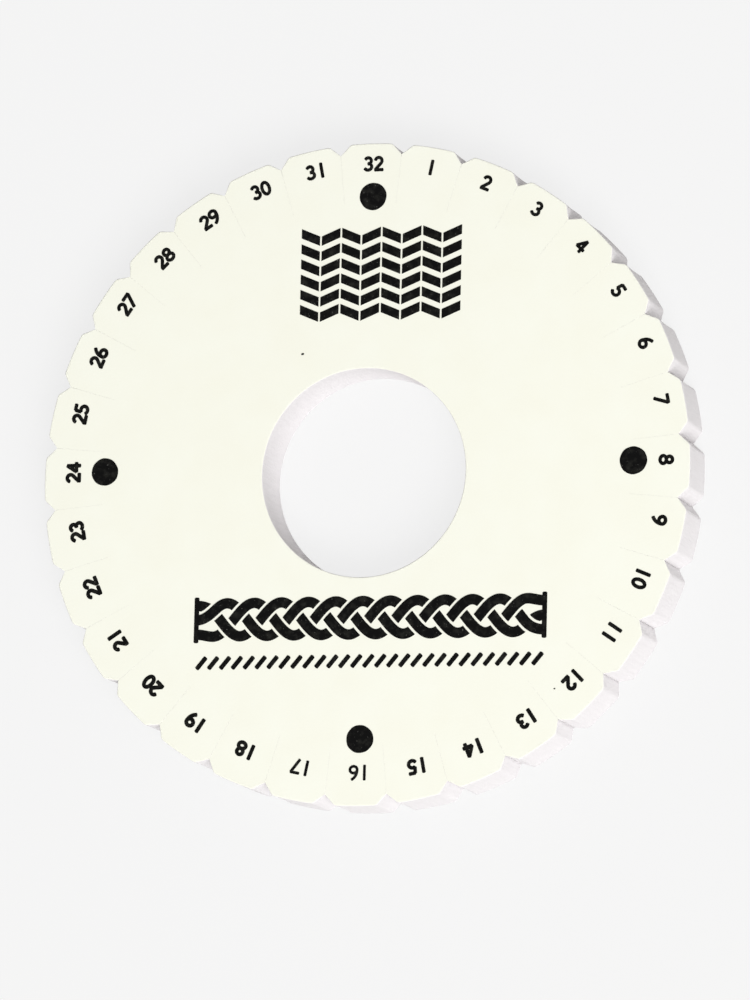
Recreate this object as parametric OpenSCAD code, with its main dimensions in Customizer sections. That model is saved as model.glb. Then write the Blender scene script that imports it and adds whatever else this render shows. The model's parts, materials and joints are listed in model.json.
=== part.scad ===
/* [Foam disk] */
// Diameter across the crests of the tabs
disk_d = 108; // [90:1:160]
// Thickness of the foam sheet
disk_t = 10; // [6:0.5:16]
// Diameter of the centre hole
hole_d = 34; // [20:1:50]
// Rounding that the cutting die leaves on the edges of the rim and the hole
edge_r = 0.4; // [0.1:0.05:1]

/* [Cord slots] */
// Number of slots, and so of tabs, around the rim
slot_count = 32; // [16:4:40]
// Width of a slot's mouth, between its walls where they would meet the rim
mouth_w = 3.6; // [2:0.1:5]
// Depth of a slot's mouth, from the crest of a tab to the point of the V
mouth_d = 1.7; // [1:0.05:3]
// Rounding of the shoulders on both sides of a mouth
shoulder_r = 1; // [0.3:0.1:2]
// Length of the knife slit that runs in from the point of the V
slit_len = 8; // [3:0.5:12]
// Width that the knife slit stands open
slit_w = 0.1; // [0.05:0.05:0.6]

/* [Printed dots] */
// Diameter of a printed dot
dot_d = 4.5; // [2:0.1:6]
// Distance from the crest of a tab in to the middle of a dot
dot_inset = 9.8; // [7:0.1:14]
// Thickness of the film of ink
ink_t = 0.06; // [0.02:0.01:0.2]
// How far the print lies off the cut, towards +X
print_x = 0.5; // [-1.5:0.1:1.5]
// How far the print lies off the cut, towards +Y
print_y = 1; // [-1.5:0.1:1.5]

/* [Hidden] */

$fn = 96;
// Colours of the foam and the ink
foam_colour = [0.98, 0.977, 0.93];
ink_colour = [0.1, 0.1, 0.1];
// How far a cutter runs past what it cuts
overcut = 1;

disk_r = disk_d / 2;
hole_r = hole_d / 2;
ring_w = disk_r - hole_r;
// Angle from one slot to the next
pitch = 360 / slot_count;
// The first dot marks the tab on +Y, and the others follow clockwise, a quarter turn apart
quarter_turn = 90;
dot_ring_r = disk_r - dot_inset;

// One mouth lies across +Y: its point, and the run of its right wall away from the point
mouth_half_angle = atan(mouth_w / 2 / mouth_d);
mouth_point = [0, disk_r - mouth_d];
wall_run = [sin(mouth_half_angle), cos(mouth_half_angle)];
// Straight into the foam from that wall
wall_inward = [cos(mouth_half_angle), -sin(mouth_half_angle)];

// The shoulder is an arc that runs from the wall to the rim and is tangent to both.
// It is sunk into them by a hair, so that their edges cross cleanly.
seam = 0.002;
shoulder_reach = shoulder_r - seam;
// Its centre lies shoulder_reach off the wall and shoulder_reach inside the rim
offset_point = mouth_point + shoulder_reach * wall_inward;
along = offset_point * wall_run;
shortfall = offset_point * offset_point - pow(disk_r - shoulder_reach, 2);
wall_len = sqrt(along * along - shortfall) - along;
shoulder_centre = offset_point + wall_len * wall_run;
shoulder_on_wall = mouth_point + wall_len * wall_run;
shoulder_on_rim = shoulder_centre * disk_r / (disk_r - shoulder_reach);
mouth_corner = shoulder_on_rim * (disk_r + overcut) / disk_r;

function mirrored(point) = [-point.x, point.y];

// Half section of the plain ring of foam, with rounded corners
module ring_section() {
    translate([hole_r + edge_r, 0])
        square([ring_w - 2 * edge_r, disk_t]);
    translate([hole_r, edge_r])
        square([ring_w, disk_t - 2 * edge_r]);
    for (x = [hole_r + edge_r, disk_r - edge_r])
        for (y = [edge_r, disk_t - edge_r])
            translate([x, y])
                circle(edge_r);
}

// Outline of one V mouth, with the shoulders left standing as arcs
module mouth_outline() {
    difference() {
        polygon([
            mouth_point,
            shoulder_on_wall,
            shoulder_on_rim,
            mouth_corner,
            mirrored(mouth_corner),
            mirrored(shoulder_on_rim),
            mirrored(shoulder_on_wall)
        ]);
        for (centre = [shoulder_centre, mirrored(shoulder_centre)])
            translate(centre)
                circle(shoulder_r);
    }
}

// Outline of one slot: the mouth, and the knife slit behind it
module slot_outline() {
    mouth_outline();
    translate([-slit_w / 2, mouth_point.y - slit_len])
        square([slit_w, slit_len + mouth_d / 2]);
}

module slot_cutter() {
    translate([0, 0, -overcut])
        linear_extrude(disk_t + 2 * overcut)
            slot_outline();
}

// One die-cut piece: a thick ring of foam with slots around its rim, midway between the tabs
module foam_disk() {
    color(foam_colour)
        difference() {
            rotate_extrude()
                ring_section();
            for (slot = [0 : slot_count - 1])
                rotate((slot + 0.5) * pitch)
                    slot_cutter();
        }
}

// Film of ink on the top face that marks every quarter of the rim
module ink_dot(quarter) {
    color(ink_colour)
        translate([print_x, print_y, disk_t])
            rotate(-quarter * quarter_turn)
                translate([0, dot_ring_r, 0])
                    cylinder(h = ink_t, d = dot_d);
}

foam_disk();
ink_dot(0);  // ink_dot_north
ink_dot(1);  // ink_dot_east
ink_dot(2);  // ink_dot_south
ink_dot(3);  // ink_dot_west
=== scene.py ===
import json
import math

import bpy
from mathutils import Matrix, Vector
from mathutils.geometry import delaunay_2d_cdt


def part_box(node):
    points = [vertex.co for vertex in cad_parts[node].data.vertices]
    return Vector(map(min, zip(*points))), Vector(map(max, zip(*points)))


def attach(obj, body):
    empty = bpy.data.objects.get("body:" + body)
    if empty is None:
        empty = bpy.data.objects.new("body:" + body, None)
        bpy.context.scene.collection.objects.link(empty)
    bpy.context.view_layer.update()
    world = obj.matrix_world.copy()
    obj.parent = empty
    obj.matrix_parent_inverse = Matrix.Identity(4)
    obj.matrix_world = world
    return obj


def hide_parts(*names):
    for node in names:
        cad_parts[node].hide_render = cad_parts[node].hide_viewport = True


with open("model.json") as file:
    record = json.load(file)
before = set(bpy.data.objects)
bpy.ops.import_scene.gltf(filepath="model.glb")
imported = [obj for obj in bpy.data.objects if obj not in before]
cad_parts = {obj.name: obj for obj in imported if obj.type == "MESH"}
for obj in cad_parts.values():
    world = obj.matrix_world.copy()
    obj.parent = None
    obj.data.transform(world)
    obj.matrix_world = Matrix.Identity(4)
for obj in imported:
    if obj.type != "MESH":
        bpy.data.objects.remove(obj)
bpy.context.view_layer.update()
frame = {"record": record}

# Sizes. Flat outlines are drawn in millimetres, seen from above, and meshes are in metres.
MM = 0.001
# Flat points that are nearer than this are one point
SNAP = 0.0001

# The foam's sizes, from the frame
MOUNTS = {mount["name"]: mount for mount in frame["record"]["mounts"]}
FOAM_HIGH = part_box("foam_disk")[1]
DISK_R = FOAM_HIGH.x / MM
FOAM_T = FOAM_HIGH.z / MM
HOLE_R = MOUNTS["centre_hole"]["dims"]["r_mm"]
TABS = sum(name.startswith("cord_slot") for name in MOUNTS)
TAB_PITCH = math.tau / TABS
MOUTH_POINT_R = Vector(MOUNTS["cord_slot_01"]["pos_m"]).xy.length / MM
# The V mouth of a cord slot, the rounding of its shoulders and the knife slit behind it
MOUTH_W = 3.6
SHOULDER_R = 1.0
SLIT_LEN = 8.0
SLIT_GAP = 0.008
# How far the die rolls the skin over the edges: the rim and the hole, the point of a mouth, and a slit's lips
EDGE_ROLL = 0.2
POINT_ROLL = 0.03
LIP_ROLL = 0.01
# The underside's edges are crisper, by this share
UNDER_ROLL = 0.55
# The squeeze of the die leaves a wall hollow by this much
WALL_HOLLOW = 0.08
# The flat faces begin this far behind the rolled edge
FLAT_RUN = 0.12
# How many straight pieces the foam's curves and walls are made of
ROLL_STEPS = 6
WALL_STEPS = 6
SHOULDER_STEPS = 7
MOUTH_STEPS = 4
SLIT_STEPS = 5
CREST_STEPS = 12
HOLE_STEPS = 192
# Rings of points keep the flat faces' triangles even: their radii, and the points to a millimetre of radius
NET_RINGS = (20, 24, 28, 32, 36, 40, 43)
NET_POINTS = 4

# The print: the dots give its place, which is a little off the cut
DOTS = ("ink_dot_north", "ink_dot_east", "ink_dot_south", "ink_dot_west")
DOT_BOXES = {name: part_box(name) for name in DOTS}
DOT_CENTRES = {name: (low + high).xy / 2 / MM for name, (low, high) in DOT_BOXES.items()}
PRINT_CENTRE = sum(DOT_CENTRES.values(), Vector((0, 0))) / len(DOTS)
DOT_R = (DOT_BOXES["ink_dot_north"][1].x - DOT_BOXES["ink_dot_north"][0].x) / 2 / MM
INK_T = DOT_BOXES["ink_dot_north"][1].z / MM - FOAM_T


# Flat outlines

def turned(point, angle, shift=Vector((0, 0))):
    """A flat point turned about the origin, and then shifted."""
    return Matrix.Rotation(angle, 2) @ Vector(point) + Vector(shift)


def arc(centre, radii, start, end, steps):
    """Points along an arc of an ellipse, from one angle to another, in degrees."""
    angles = [math.radians(start + (end - start) * i / steps) for i in range(steps + 1)]
    return [Vector((centre[0] + radii[0] * math.cos(a), centre[1] + radii[1] * math.sin(a))) for a in angles]


def inward(outline):
    """For each point of a closed outline with the material on its left, the way into the material."""
    ways = []
    for i, point in enumerate(outline):
        before = (point - outline[i - 1]).normalized()
        after = (outline[(i + 1) % len(outline)] - point).normalized()
        left_before = Vector((-before.y, before.x))
        left_after = Vector((-after.y, after.x))
        ways.append((left_before + left_after) / (1 + left_before.dot(left_after)))
    return ways


def ways_along(path):
    """The way ahead at each point of a path."""
    last = len(path) - 1
    return [(path[min(i + 1, last)] - path[max(i - 1, 0)]).normalized() for i in range(len(path))]


def sides(path, width):
    """The left and the right edge of a stroke of even width along a path."""
    reach = [width / 2 * Vector((-ahead.y, ahead.x)) for ahead in ways_along(path)]
    return [p + r for p, r in zip(path, reach)], [p - r for p, r in zip(path, reach)]


def ribbon(path, width):
    """Outline of a stroke of even width along a path, with flattened round ends."""
    flatness = 0.45
    steps = 6

    def end(point, ahead):
        side = Vector((ahead.y, -ahead.x))
        angles = [math.pi * i / steps for i in range(1, steps)]
        return [point + width / 2 * (math.cos(a) * side + flatness * math.sin(a) * ahead) for a in angles]

    ways = ways_along(path)
    left, right = sides(path, width)
    return right + end(path[-1], ways[-1]) + left[::-1] + end(path[0], -ways[0])


# Meshes

def mesh_object(name, points, faces, smooth=False):
    """A mesh object from points in millimetres."""
    mesh = bpy.data.meshes.new(name)
    mesh.from_pydata([Vector(p) * MM for p in points], [], faces)
    mesh.validate()
    mesh.polygons.foreach_set("use_smooth", [smooth] * len(mesh.polygons))
    piece = bpy.data.objects.new(name, mesh)
    bpy.context.scene.collection.objects.link(piece)
    return piece


def triangles_of(points, outlines):
    """Triangles between flat points, each with the set of the closed outlines that it lies in.

    Comes with the triangles' points, and with the given points that each of them was.
    """
    made = delaunay_2d_cdt([Vector(p) for p in points], [], outlines, 0, SNAP)
    flat, faces, sources, inside = made[0], made[2], made[3], made[5]
    return flat, sources, [(face, set(found)) for face, found in zip(faces, inside)]


def film(name, outlines, material, keep=bool):
    """A film of ink on the top face as one closed mesh: the area that the outlines cover together.

    keep tells for the set of the outlines over a spot whether it is inked.
    """
    points = []
    loops = []
    for outline in outlines:
        loops.append(list(range(len(points), len(points) + len(outline))))
        points += outline
    flat, _, triangles = triangles_of(points, loops)
    top = [face for face, found in triangles if keep(found)]
    used = sorted({i for face in top for i in face})
    place = {old: new for new, old in enumerate(used)}
    top = [[place[i] for i in face] for face in top]
    count = len(used)
    low = [(flat[i].x, flat[i].y, FOAM_T) for i in used]
    high = [(flat[i].x, flat[i].y, FOAM_T + INK_T) for i in used]
    edges = {(face[i], face[(i + 1) % len(face)]) for face in top for i in range(len(face))}
    rim = [(a, b) for a, b in sorted(edges) if (b, a) not in edges]
    faces = [[i + count for i in face] for face in top]
    faces += [face[::-1] for face in top]
    faces += [(a, b, b + count, a + count) for a, b in rim]
    piece = mesh_object(name, low + high, faces)
    piece.data.materials.append(material)
    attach(piece, "root")
    return piece


# Materials

# Colours of the foam's skin and of its cut walls, each over two kinds of patches. The walls' colour is darker
# and cooler than the skin's: painted shade for the light on upright faces
SKIN_COLOURS = ((0.945, 0.947, 0.85), (0.955, 0.962, 0.874))
CUT_SHADE_COLOURS = ((0.8, 0.778, 0.79), (0.825, 0.803, 0.815))
# Colours of the full and the worn ink, and of the pinholes in it
INK_COLOURS = ((0.004, 0.004, 0.004), (0.018, 0.018, 0.016))
PINHOLE_COLOUR = (0.13, 0.13, 0.12)
# The skin's closed cells, which the ink follows: how many to a metre, and their depth in metres
SKIN_CELLS = 3200
SKIN_GRAIN = 0.00003
# The same for the open cells in a cut wall
CUT_CELLS = 2200
CUT_GRAIN = 0.00008


def add_node(tree, kind, **values):
    """A shader node with its inputs and settings, each given by name with _ for a space."""
    node = tree.nodes.new(kind)
    for name, value in values.items():
        socket = node.inputs.get(name.replace("_", " "))
        if socket is None:
            setattr(node, name, value)
        else:
            socket.default_value = value
    return node


def new_material(name, roughness, specular):
    """A material with its node tree and its shader."""
    material = bpy.data.materials.new(name)
    material.use_nodes = True
    shader = material.node_tree.nodes["Principled BSDF"]
    shader.inputs["Roughness"].default_value = roughness
    shader.inputs["Specular IOR Level"].default_value = specular
    return material, material.node_tree, shader


def map_range(tree, source, low, high, to_low=0, to_high=1):
    """A value that is stretched from one range to another."""
    node = add_node(tree, "ShaderNodeMapRange", From_Min=low, From_Max=high, To_Min=to_low, To_Max=to_high)
    tree.links.new(source, node.inputs["Value"])
    return node.outputs["Result"]


def mix_colour(tree, share, first, second):
    """Two colours mixed by a share; each is a socket or a plain colour."""
    node = add_node(tree, "ShaderNodeMix", data_type="RGBA")
    tree.links.new(share, node.inputs["Factor"])
    # Sockets 6 and 7 are the colours, and output 2 is their mix
    for socket, colour in ((node.inputs[6], first), (node.inputs[7], second)):
        if isinstance(colour, bpy.types.NodeSocket):
            tree.links.new(colour, socket)
        else:
            socket.default_value = (*colour, 1)
    return node.outputs[2]


def bump(tree, height, strength, distance):
    """The normals of a bumpy surface."""
    node = add_node(tree, "ShaderNodeBump", Strength=strength, Distance=distance)
    tree.links.new(height, node.inputs["Height"])
    return node.outputs["Normal"]


def foam_material():
    """Closed-cell foam: a cream skin with fine closed cells, and cut walls with open ones, painted darker and
    cooler as shade.
    """
    material, tree, shader = new_material("foam", roughness=0.85, specular=0.05)
    shader.inputs["Diffuse Roughness"].default_value = 0.25
    place = add_node(tree, "ShaderNodeTexCoord").outputs["Object"]
    # The skin is where the surface lies level, and the cut where it stands upright; the cut's darker, cooler
    # colour is painted shade
    normal = add_node(tree, "ShaderNodeNewGeometry").outputs["Normal"]
    upright = add_node(tree, "ShaderNodeSeparateXYZ")
    tree.links.new(normal, upright.inputs["Vector"])
    level = add_node(tree, "ShaderNodeMath", operation="ABSOLUTE")
    tree.links.new(upright.outputs["Z"], level.inputs[0])
    skin = map_range(tree, level.outputs["Value"], 0.5, 0.95)

    cloud = add_node(tree, "ShaderNodeTexNoise", Scale=160, Detail=3)
    cells = add_node(tree, "ShaderNodeTexVoronoi", Scale=SKIN_CELLS)
    pores = add_node(tree, "ShaderNodeTexVoronoi", Scale=CUT_CELLS)
    for texture in (cloud, cells, pores):
        tree.links.new(place, texture.inputs["Vector"])
    # The knife drags faint lines down the cut
    squeeze = add_node(tree, "ShaderNodeMapping", Scale=(1, 1, 0.04))
    drag = add_node(tree, "ShaderNodeTexNoise", Scale=2600, Detail=2)
    tree.links.new(place, squeeze.inputs["Vector"])
    tree.links.new(squeeze.outputs["Vector"], drag.inputs["Vector"])

    tone = map_range(tree, cloud.outputs["Fac"], 0.3, 0.7)
    skin_colour = mix_colour(tree, tone, *SKIN_COLOURS)
    cut_tone = map_range(tree, drag.outputs["Fac"], 0.3, 0.7)
    # The cut walls' darker, cooler colour is painted shade; the knife's drag lines vary it
    shaded_cut_colour = mix_colour(tree, cut_tone, *CUT_SHADE_COLOURS)
    tree.links.new(mix_colour(tree, skin, shaded_cut_colour, skin_colour), shader.inputs["Base Color"])

    grain = add_node(tree, "ShaderNodeMath", operation="ADD")
    tree.links.new(pores.outputs["Distance"], grain.inputs[0])
    tree.links.new(drag.outputs["Fac"], grain.inputs[1])
    cut_bump = bump(tree, grain.outputs["Value"], strength=0.5, distance=CUT_GRAIN)
    skin_bump = bump(tree, cells.outputs["Distance"], strength=0.25, distance=SKIN_GRAIN)
    # Sockets 4 and 5 are the vectors, and output 1 is their mix
    blend = add_node(tree, "ShaderNodeMix", data_type="VECTOR")
    tree.links.new(skin, blend.inputs["Factor"])
    tree.links.new(cut_bump, blend.inputs[4])
    tree.links.new(skin_bump, blend.inputs[5])
    tree.links.new(blend.outputs[1], shader.inputs["Normal"])
    return material


def ink_material():
    """Black screen ink that follows the foam's grain, with worn spots and pinholes."""
    material, tree, shader = new_material("ink", roughness=0.6, specular=0.04)
    place = add_node(tree, "ShaderNodeTexCoord").outputs["Object"]
    cloud = add_node(tree, "ShaderNodeTexNoise", Scale=900, Detail=4)
    holes = add_node(tree, "ShaderNodeTexNoise", Scale=3000, Detail=2)
    cells = add_node(tree, "ShaderNodeTexVoronoi", Scale=SKIN_CELLS)
    for texture in (cloud, holes, cells):
        tree.links.new(place, texture.inputs["Vector"])
    worn = map_range(tree, cloud.outputs["Fac"], 0.48, 0.72)
    black = mix_colour(tree, worn, *INK_COLOURS)
    pinhole = map_range(tree, holes.outputs["Fac"], 0.68, 0.78)
    tree.links.new(mix_colour(tree, pinhole, black, PINHOLE_COLOUR), shader.inputs["Base Color"])
    grain = bump(tree, cells.outputs["Distance"], strength=0.3, distance=SKIN_GRAIN)
    tree.links.new(grain, shader.inputs["Normal"])
    return material


# The foam disk

def slot_half():
    """Right half of a cord slot that opens along +Y, from the rim in, as points with their edge roll."""
    half_angle = math.atan2(MOUTH_W / 2, DISK_R - MOUTH_POINT_R)
    point = Vector((SLIT_GAP / 2, MOUTH_POINT_R))
    run = Vector((math.sin(half_angle), math.cos(half_angle)))
    into_foam = Vector((run.y, -run.x))
    # The shoulder's arc touches the wall and the rim: its centre is as far from both as its radius
    start = point + SHOULDER_R * into_foam
    along = start.dot(run)
    wall_len = math.sqrt(along**2 - start.length_squared + (DISK_R - SHOULDER_R) ** 2) - along
    centre = start + wall_len * run
    rim_angle = math.degrees(math.atan2(centre.y, centre.x))
    wall_angle = math.degrees(math.atan2(-into_foam.y, -into_foam.x))
    shoulder = arc(centre, (SHOULDER_R, SHOULDER_R), rim_angle, wall_angle, SHOULDER_STEPS)
    points = [(p, EDGE_ROLL) for p in shoulder]
    for i in range(1, MOUTH_STEPS + 1):
        share = i / MOUTH_STEPS
        roll = EDGE_ROLL + (POINT_ROLL - EDGE_ROLL) * share**2
        points.append((shoulder[-1].lerp(point, share), roll))
    for i in range(1, SLIT_STEPS + 1):
        points.append((point - Vector((0, SLIT_LEN * i / SLIT_STEPS)), LIP_ROLL))
    return points


def rim_outline():
    """The whole rim, counterclockwise from the first slot, as points and as their edge rolls."""
    right = slot_half()
    left = [(Vector((-p.x, p.y)), roll) for p, roll in reversed(right)]
    slit_end = (Vector((0, MOUTH_POINT_R - SLIT_LEN - SLIT_GAP)), LIP_ROLL)
    slot = right + [slit_end] + left
    shoulder_angle = math.atan2(right[0][0].x, right[0][0].y)
    crest = []
    for i in range(1, CREST_STEPS):
        angle = shoulder_angle + (TAB_PITCH - 2 * shoulder_angle) * i / CREST_STEPS
        crest.append((turned((0, DISK_R), angle), EDGE_ROLL))
    points = []
    for tab in range(TABS):
        middle = (tab + 0.5) * TAB_PITCH
        points += [(turned(p, middle), roll) for p, roll in slot + crest]
    return [p for p, _ in points], [roll for _, roll in points]


def cut_section(roll):
    """Section of a cut edge from the underside's flat up to the top's, as insets and heights."""
    under = UNDER_ROLL * roll
    share = roll / EDGE_ROLL
    section = [(under + FLAT_RUN * share, 0)]
    for i in range(ROLL_STEPS + 1):
        angle = math.pi / 2 * (1 - i / ROLL_STEPS)
        section.append((under * (1 - math.cos(angle)), under * (1 - math.sin(angle))))
    # The wall is deepest halfway up
    for i in range(1, WALL_STEPS):
        up = i / WALL_STEPS
        hollow = WALL_HOLLOW * share * 4 * up * (1 - up)
        section.append((hollow, under + (FOAM_T - roll - under) * up))
    for i in range(ROLL_STEPS + 1):
        angle = math.pi / 2 * i / ROLL_STEPS
        section.append((roll * (1 - math.cos(angle)), FOAM_T - roll * (1 - math.sin(angle))))
    section.append((roll + FLAT_RUN * share, FOAM_T))
    return section


def cut_wall(outline, rolls):
    """Rings of points up a cut wall, one for each step of its section."""
    ways = inward(outline)
    sections = [cut_section(roll) for roll in rolls]
    rings = []
    for step in range(len(sections[0])):
        ring = []
        for point, way, section in zip(outline, ways, sections):
            inset, height = section[step]
            ring.append((*(point + inset * way), height))
        rings.append(ring)
    return rings


def add_rings(points, faces, rings):
    """Joins closed rings of points with four-sided faces, and returns the first and last ring's places."""
    first = len(points)
    count = len(rings[0])
    for ring in rings:
        points += ring
    for level in range(len(rings) - 1):
        low = first + level * count
        for i in range(count):
            after = (i + 1) % count
            faces.append((low + i, low + after, low + count + after, low + count + i))
    last = first + (len(rings) - 1) * count
    return list(range(first, first + count)), list(range(last, last + count))


def foam_disk():
    """The die-cut foam: rim with cord slots, centre hole, and the flat faces between them."""
    rim, rim_rolls = rim_outline()
    hole = arc((0, 0), (HOLE_R, HOLE_R), 360, 0, HOLE_STEPS)[:-1]
    points = []
    faces = []
    rim_low, rim_high = add_rings(points, faces, cut_wall(rim, rim_rolls))
    hole_low, hole_high = add_rings(points, faces, cut_wall(hole, [EDGE_ROLL] * len(hole)))

    # Both flats share one net of triangles, drawn through spread points between the two edges
    spread = []
    for radius in NET_RINGS:
        spread += arc((0, 0), (radius, radius), 0, 360, NET_POINTS * radius)[:-1]
    loops = rim_high + hole_high
    flat_points = [Vector(points[i][:2]) for i in loops] + spread
    rim_loop = list(range(len(rim_high)))
    hole_loop = list(range(len(rim_high), len(loops)))[::-1]
    _, sources, triangles = triangles_of(flat_points, [rim_loop, hole_loop])
    net = [[sources[i][0] for i in face] for face, found in triangles if found == {0}]
    for edge_loop, height, flip in ((rim_high + hole_high, FOAM_T, 1), (rim_low + hole_low, 0, -1)):
        first = len(points)
        points += [(p.x, p.y, height) for p in spread]
        place = edge_loop + list(range(first, first + len(spread)))
        faces += [[place[i] for i in face][::flip] for face in net]
    piece = mesh_object("foam", points, faces, smooth=True)
    piece.data.materials.append(foam_material())
    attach(piece, "root")
    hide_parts("foam_disk")
    return piece


# The print

# The numerals stand on a ring, with their tops to the rim
NUMERAL_RING_R = 49.6
NUMERAL_H = 2.55
# Digits are drawn for a cap height of 1
STROKE = 0.235
DIGIT_W = 0.7
DIGIT_STEP = 0.66
# A one is set wider apart from its neighbour
ONE_STEP = 0.71
# More ink went through the screen around one numeral than across from it, and it ran short at another
FULL_NUMERAL = 18
FULL_SHARE = 0.11
THIN_NUMERAL = 16.4
THIN_SPREAD = 1.2
THIN_SHARE = 0.39


def line(start, end):
    """A straight stroke."""
    return [Vector(start), Vector(end)]


def loop_stroke(centre, radii):
    """A closed oval stroke as two halves that overlap by a few degrees."""
    overlap = 4
    steps = 20
    upper = arc(centre, radii, -overlap, 180 + overlap, steps)
    lower = arc(centre, radii, 180 - overlap, 360 + overlap, steps)
    return [upper, lower]


def digit_strokes(digit):
    """Middle lines of a plain sans digit."""
    if digit == "0":
        return loop_stroke((0.35, 0.5), (0.235, 0.395))
    if digit == "1":
        return [line((0.35, 0.04), (0.35, 0.96))]
    if digit == "2":
        bowl = arc((0.33, 0.675), (0.22, 0.22), 165, -38, 16)
        return [bowl + [Vector((0.13, 0.13))], line((0.09, 0.1), (0.62, 0.1))]
    if digit == "3":
        upper = arc((0.3, 0.695), (0.205, 0.2), 150, -90, 16)
        lower = arc((0.3, 0.31), (0.24, 0.21), 90, -150, 16)
        return [upper, lower]
    if digit == "4":
        foot = [line((0.47, 0.04), (0.47, 0.9)), line((0.08, 0.3), (0.66, 0.3))]
        return foot + [line((0.47, 0.9), (0.08, 0.3))]
    if digit == "5":
        flag = [line((0.58, 0.9), (0.21, 0.9)), line((0.2, 0.89), (0.16, 0.53))]
        return flag + [arc((0.3, 0.325), (0.245, 0.225), 122, -150, 18)]
    if digit == "6":
        stem = arc((0.68, 0.315), (0.565, 0.67), 180, 112, 14)
        return loop_stroke((0.35, 0.315), (0.235, 0.215)) + [stem]
    if digit == "7":
        return [line((0.07, 0.9), (0.62, 0.9)), line((0.6, 0.88), (0.17, 0.04))]
    if digit == "8":
        upper = loop_stroke((0.35, 0.7), (0.2, 0.195))
        return upper + loop_stroke((0.35, 0.3), (0.245, 0.2))
    # A nine is a six that is turned over
    middle = Vector((0.35, 0.5))
    return [[2 * middle - p for p in stroke] for stroke in digit_strokes("6")]


def numeral(number, material):
    """One numeral on its tab, with its top to the rim."""
    text = str(number)
    step = ONE_STEP if "1" in text else DIGIT_STEP
    width = step * (len(text) - 1) + DIGIT_W
    angle = -number * TAB_PITCH
    fuller = FULL_SHARE * math.cos((number - FULL_NUMERAL) * TAB_PITCH)
    thinner = THIN_SHARE * math.exp(-(((number - THIN_NUMERAL) / THIN_SPREAD) ** 2))
    stroke_w = STROKE * NUMERAL_H * (1 + fuller - thinner)
    outlines = []
    for column, digit in enumerate(text):
        corner = Vector((step * column - width / 2, -0.5))
        for stroke in digit_strokes(digit):
            flat = [(p + corner) * NUMERAL_H + Vector((0, NUMERAL_RING_R)) for p in stroke]
            path = [turned(p, angle, PRINT_CENTRE) for p in flat]
            outlines.append(ribbon(path, stroke_w))
    return film(f"numeral_{number:02d}", outlines, material)


def blot(centre, radius, steps, waves):
    """Outline of a round spot of ink with an uneven edge.

    Each wave around the edge has its height as a share of the radius, its number of crests and its start.
    """
    edge = []
    for i in range(steps):
        a = math.tau * i / steps
        reach = radius * (1 + sum(height * math.sin(crests * a + start) for height, crests, start in waves))
        edge.append(centre + reach * Vector((math.cos(a), math.sin(a))))
    return edge


def dot(name, order, material):
    """A printed dot, with the slightly uneven edge of screen ink, in place of its CAD film."""
    waves = ((0.008, 3, order), (0.005, 8, 2 * order))
    edge = blot(DOT_CENTRES[name], DOT_R, steps=96, waves=waves)
    piece = film(name.replace("ink_dot", "printed_dot"), [edge], material)
    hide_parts(name)
    return piece


# Stray specks of ink: where each lies from the print's centre, and its radius
FLECKS = ((Vector((-11.2, 18.6)), 0.2), (Vector((32.0, -36.5)), 0.13))


def fleck(name, place, radius, material):
    """A stray speck of ink, with an uneven edge."""
    waves = ((0.25, 2, 1), (0.12, 5, 0))
    edge = blot(PRINT_CENTRE + place, radius, steps=14, waves=waves)
    return film(name, [edge], material)


# The generic prints that fill the places of the names, each placed from the print's centre
HERRINGBONE_PLACE = Vector((1.6, 31.5))
PLAIT_PLACE = Vector((1.1, -24.6))
DASHES_PLACE = Vector((1.1, -31.6))
# Length of the plait and of the row of dashes
BAND_LEN = 58


def herringbone(material):
    """A patch of slanted bars whose columns lean to and fro, as the stitches of a flat braid do."""
    columns = 8
    rows = 6
    column_step = 3.4
    row_step = 2.5
    seam = 0.3
    bar_h = 1.55
    rise = 1.3
    edge = Vector((0, bar_h / 2))
    outlines = []
    for column in range(columns):
        lean = rise if column % 2 else -rise
        end = Vector((column_step - seam, lean)) / 2
        for row in range(rows):
            across = (column - (columns - 1) / 2) * column_step
            up = (row - (rows - 1) / 2) * row_step
            middle = PRINT_CENTRE + HERRINGBONE_PLACE + Vector((across, up))
            left = middle - end
            right = middle + end
            outlines.append([left - edge, right - edge, right + edge, left + edge])
    return film("print_herringbone", outlines, material)


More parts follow.
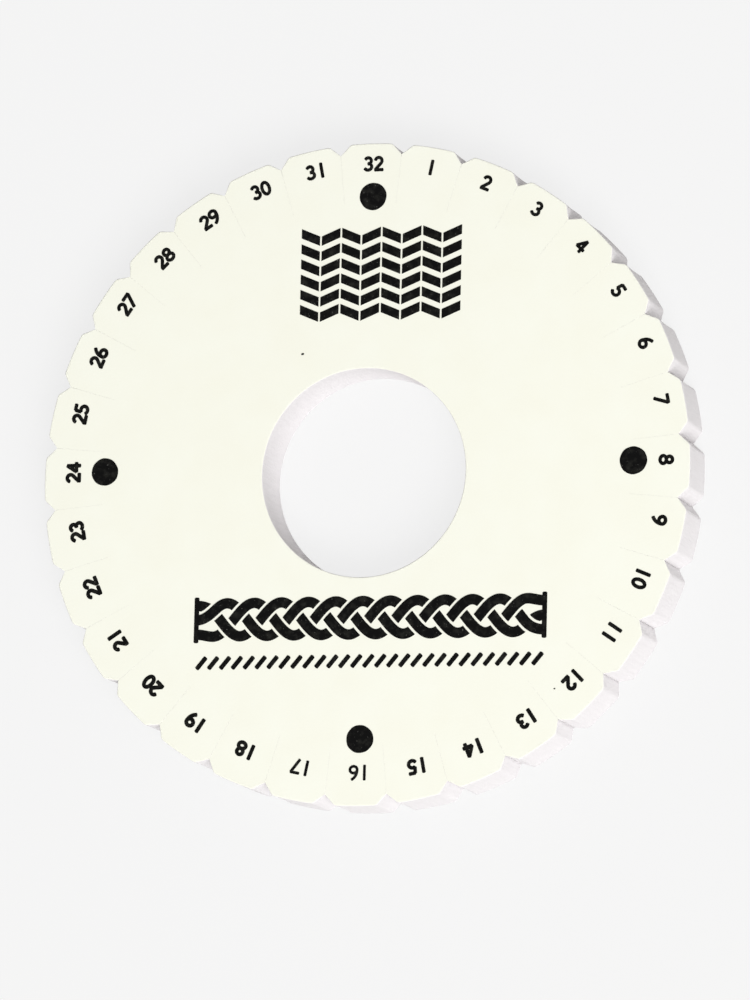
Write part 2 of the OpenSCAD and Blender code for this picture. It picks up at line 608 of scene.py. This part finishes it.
def plait(material):
    """A band of the plain three-strand plait, with a gap where a strand dives under another."""
    strands = 3
    turns = 4
    swing = 2.7
    strand_w = 1.7
    gap = 0.4
    # Lengths along the band in even steps: a full swing, from one crossing to the next, and half a crossing
    turn = 72
    spacing = turn // (2 * strands)
    crossing_half = 5
    # The strands level off over twice this length as they run into a binding
    tail = 9
    last = turns * turn + 2 * tail
    middle = PRINT_CENTRE + PLAIT_PLACE

    def swung(step):
        """How much of the swing a strand has done, in steps."""
        near = min(step, last - step)
        done = near - tail if near >= 2 * tail else near**2 / (4 * tail)
        return done if step < last / 2 else turns * turn - done

    paths = []
    for strand in range(strands):
        path = []
        for step in range(last + 1):
            angle = math.tau * (swung(step) / turn + strand / strands)
            path.append(middle + Vector((BAND_LEN * (step / last - 0.5), swing * math.sin(angle))))
        paths.append(path)

    def strip(strand, width, start, end):
        left, right = sides(paths[strand], width)
        return right[start:end + 1] + left[start:end + 1][::-1]

    whole = [strip(strand, strand_w, 0, last) for strand in range(strands)]
    # The strands take turns to go over. The first and the last crossing run on into the bindings.
    over = []
    cleared = []
    crossings = 2 * strands * turns
    for crossing in range(crossings):
        centre = tail + spacing // 2 + spacing * crossing
        start = centre - crossing_half if crossing > 0 else 0
        end = centre + crossing_half if crossing < crossings - 1 else last
        over.append(strip(crossing % strands, strand_w, start, end))
        cleared.append(strip(crossing % strands, strand_w + 2 * gap, start, end))
    for side in (-1, 1):
        binding = middle + Vector((side * BAND_LEN / 2, 0))
        reach = Vector((0, swing + strand_w / 2))
        over.append(ribbon([binding - reach, binding + reach], 2 * gap))
    first_over = len(whole)
    first_cleared = first_over + len(over)

    def inked(found):
        on_top = any(first_over <= i < first_cleared for i in found)
        dives = any(i >= first_cleared for i in found)
        return on_top or (bool(found) and not dives)

    return film("print_plait", whole + over + cleared, material, keep=inked)


def dashes(material):
    """A row of slanted dashes, like the lay of a twisted cord."""
    count = 29
    dash_w = 0.75
    step = BAND_LEN / count
    reach = Vector((0.7, 0.85))
    outlines = []
    for i in range(count):
        middle = PRINT_CENTRE + DASHES_PLACE + Vector(((i - (count - 1) / 2) * step, 0))
        outlines.append(ribbon([middle - reach, middle + reach], dash_w))
    return film("print_dashes", outlines, material)


# Stage, light and camera

# The key lamp stands at the photograph's lower right, this far round from +X and up, in degrees
KEY_ROUND = -52
KEY_UP = 52
# Its distance and width in metres, and its power in watts
KEY_DISTANCE = 2
KEY_SIZE = 1.2
KEY_POWER = 33.2
# The room's light, and its strength on the key's side; across from the key it is dark
ROOM_COLOUR = (1, 0.985, 0.955, 1)
ROOM_STRENGTH = 0.5
# The floor is light grey for the light that bounces off it, and pale for the camera
FLOOR_GREY = 0.75
FLOOR_PALE = 0.95
# A share of what the camera sees of it is plain white, so that the shadow is as faint as in the photograph
WHITE_SHARE = 0.87
FLOOR_WHITE = 0.912
# The white that the camera sees behind the floor
BACK_WHITE = 0.92
# The photograph's height in pixels, and its scale on the disk
PICTURE_H = 1000
PIXELS_PER_MM = 6.2


def spherical(round_from_x, up):
    """The way to a place that lies round from +X and up from the floor, in degrees."""
    round_from_x = math.radians(round_from_x)
    up = math.radians(up)
    level = math.cos(up)
    return Vector((level * math.cos(round_from_x), level * math.sin(round_from_x), math.sin(up)))


def seen_directly(tree):
    """1 for what the camera sees, also by way of gloss or glass, and 0 for the light on the object."""
    path = add_node(tree, "ShaderNodeLightPath")
    seen = path.outputs["Is Camera Ray"]
    for name in ("Is Glossy Ray", "Is Transmission Ray"):
        larger = add_node(tree, "ShaderNodeMath", operation="MAXIMUM")
        tree.links.new(seen, larger.inputs[0])
        tree.links.new(path.outputs[name], larger.inputs[1])
        seen = larger.outputs["Value"]
    return seen


def floor():
    """A pale floor that keeps the disk's shadow."""
    size = 4000
    corners = [(-size, -size, 0), (size, -size, 0), (size, size, 0), (-size, size, 0)]
    piece = mesh_object("floor", corners, [(0, 1, 2, 3)])
    material, tree, shader = new_material("floor", roughness=0.9, specular=0.1)
    seen = seen_directly(tree)
    colour = mix_colour(tree, seen, [FLOOR_GREY] * 3, [FLOOR_PALE] * 3)
    tree.links.new(colour, shader.inputs["Base Color"])
    white = add_node(tree, "ShaderNodeEmission", Color=(FLOOR_WHITE, FLOOR_WHITE, FLOOR_WHITE, 1))
    blend = add_node(tree, "ShaderNodeMixShader")
    tree.links.new(map_range(tree, seen, 0, 1, 0, WHITE_SHARE), blend.inputs["Fac"])
    tree.links.new(shader.outputs["BSDF"], blend.inputs[1])
    tree.links.new(white.outputs["Emission"], blend.inputs[2])
    tree.links.new(blend.outputs["Shader"], tree.nodes["Material Output"].inputs["Surface"])
    piece.data.materials.append(material)


def lights():
    """A soft key lamp, and a white room that is brightest around it and dark across from it."""
    toward_key = spherical(KEY_ROUND, KEY_UP)

    world = bpy.data.worlds.new("studio")
    world.use_nodes = True
    bpy.context.scene.world = world
    tree = world.node_tree
    room = tree.nodes["Background"]
    room.inputs["Color"].default_value = ROOM_COLOUR
    place = add_node(tree, "ShaderNodeTexCoord")
    side = add_node(tree, "ShaderNodeVectorMath", operation="DOT_PRODUCT")
    tree.links.new(place.outputs["Generated"], side.inputs[0])
    side.inputs[1].default_value = toward_key
    strength = map_range(tree, side.outputs["Value"], -1, 1, 0, ROOM_STRENGTH)
    tree.links.new(strength, room.inputs["Strength"])
    white = add_node(tree, "ShaderNodeBackground", Color=(BACK_WHITE, BACK_WHITE, BACK_WHITE, 1))
    blend = add_node(tree, "ShaderNodeMixShader")
    tree.links.new(seen_directly(tree), blend.inputs["Fac"])
    tree.links.new(room.outputs["Background"], blend.inputs[1])
    tree.links.new(white.outputs["Background"], blend.inputs[2])
    tree.links.new(blend.outputs["Shader"], tree.nodes["World Output"].inputs["Surface"])

    key = bpy.data.lights.new("key", "AREA")
    key.energy = KEY_POWER
    key.size = KEY_SIZE
    lamp = bpy.data.objects.new("key", key)
    lamp.location = KEY_DISTANCE * toward_key
    lamp.rotation_euler = (-toward_key).to_track_quat("-Z", "Y").to_euler()
    bpy.context.scene.collection.objects.link(lamp)


def camera():
    """The eye is right of the disk and nearer its foot, and looks down at it through a long lens."""
    tilt_right = math.radians(16)
    tilt_down = math.radians(9)
    roll = math.radians(1.4)
    distance = 1.2
    # The disk lies a little above the middle of the picture, as in the photograph
    aim = Vector((0.0006, -0.0037, FOAM_HIGH.z / 2))
    back = Vector((math.sin(tilt_right), -math.sin(tilt_down), 0))
    back.z = math.sqrt(1 - back.length_squared)
    right = Vector((0, 1, 0)).cross(back).normalized()
    axes = Matrix((right, back.cross(right), back)).transposed() @ Matrix.Rotation(roll, 3, "Z")
    lens = bpy.data.cameras.new("camera")
    lens.lens = lens.sensor_width * PIXELS_PER_MM / MM * distance / PICTURE_H
    eye = bpy.data.objects.new("camera", lens)
    eye.matrix_world = Matrix.LocRotScale(aim + distance * back, axes.to_quaternion(), None)
    bpy.context.scene.collection.objects.link(eye)
    bpy.context.scene.camera = eye


camera()
lights()
floor()
foam_disk()
ink = ink_material()
for number in range(1, TABS + 1):
    numeral(number, ink)
for order, name in enumerate(DOTS):
    dot(name, order, ink)
herringbone(ink)
plait(ink)
dashes(ink)
for count, (place, radius) in enumerate(FLECKS, 1):
    fleck(f"ink_fleck_{count}", place, radius, ink)

bpy.context.scene.view_settings.view_transform = "Standard"
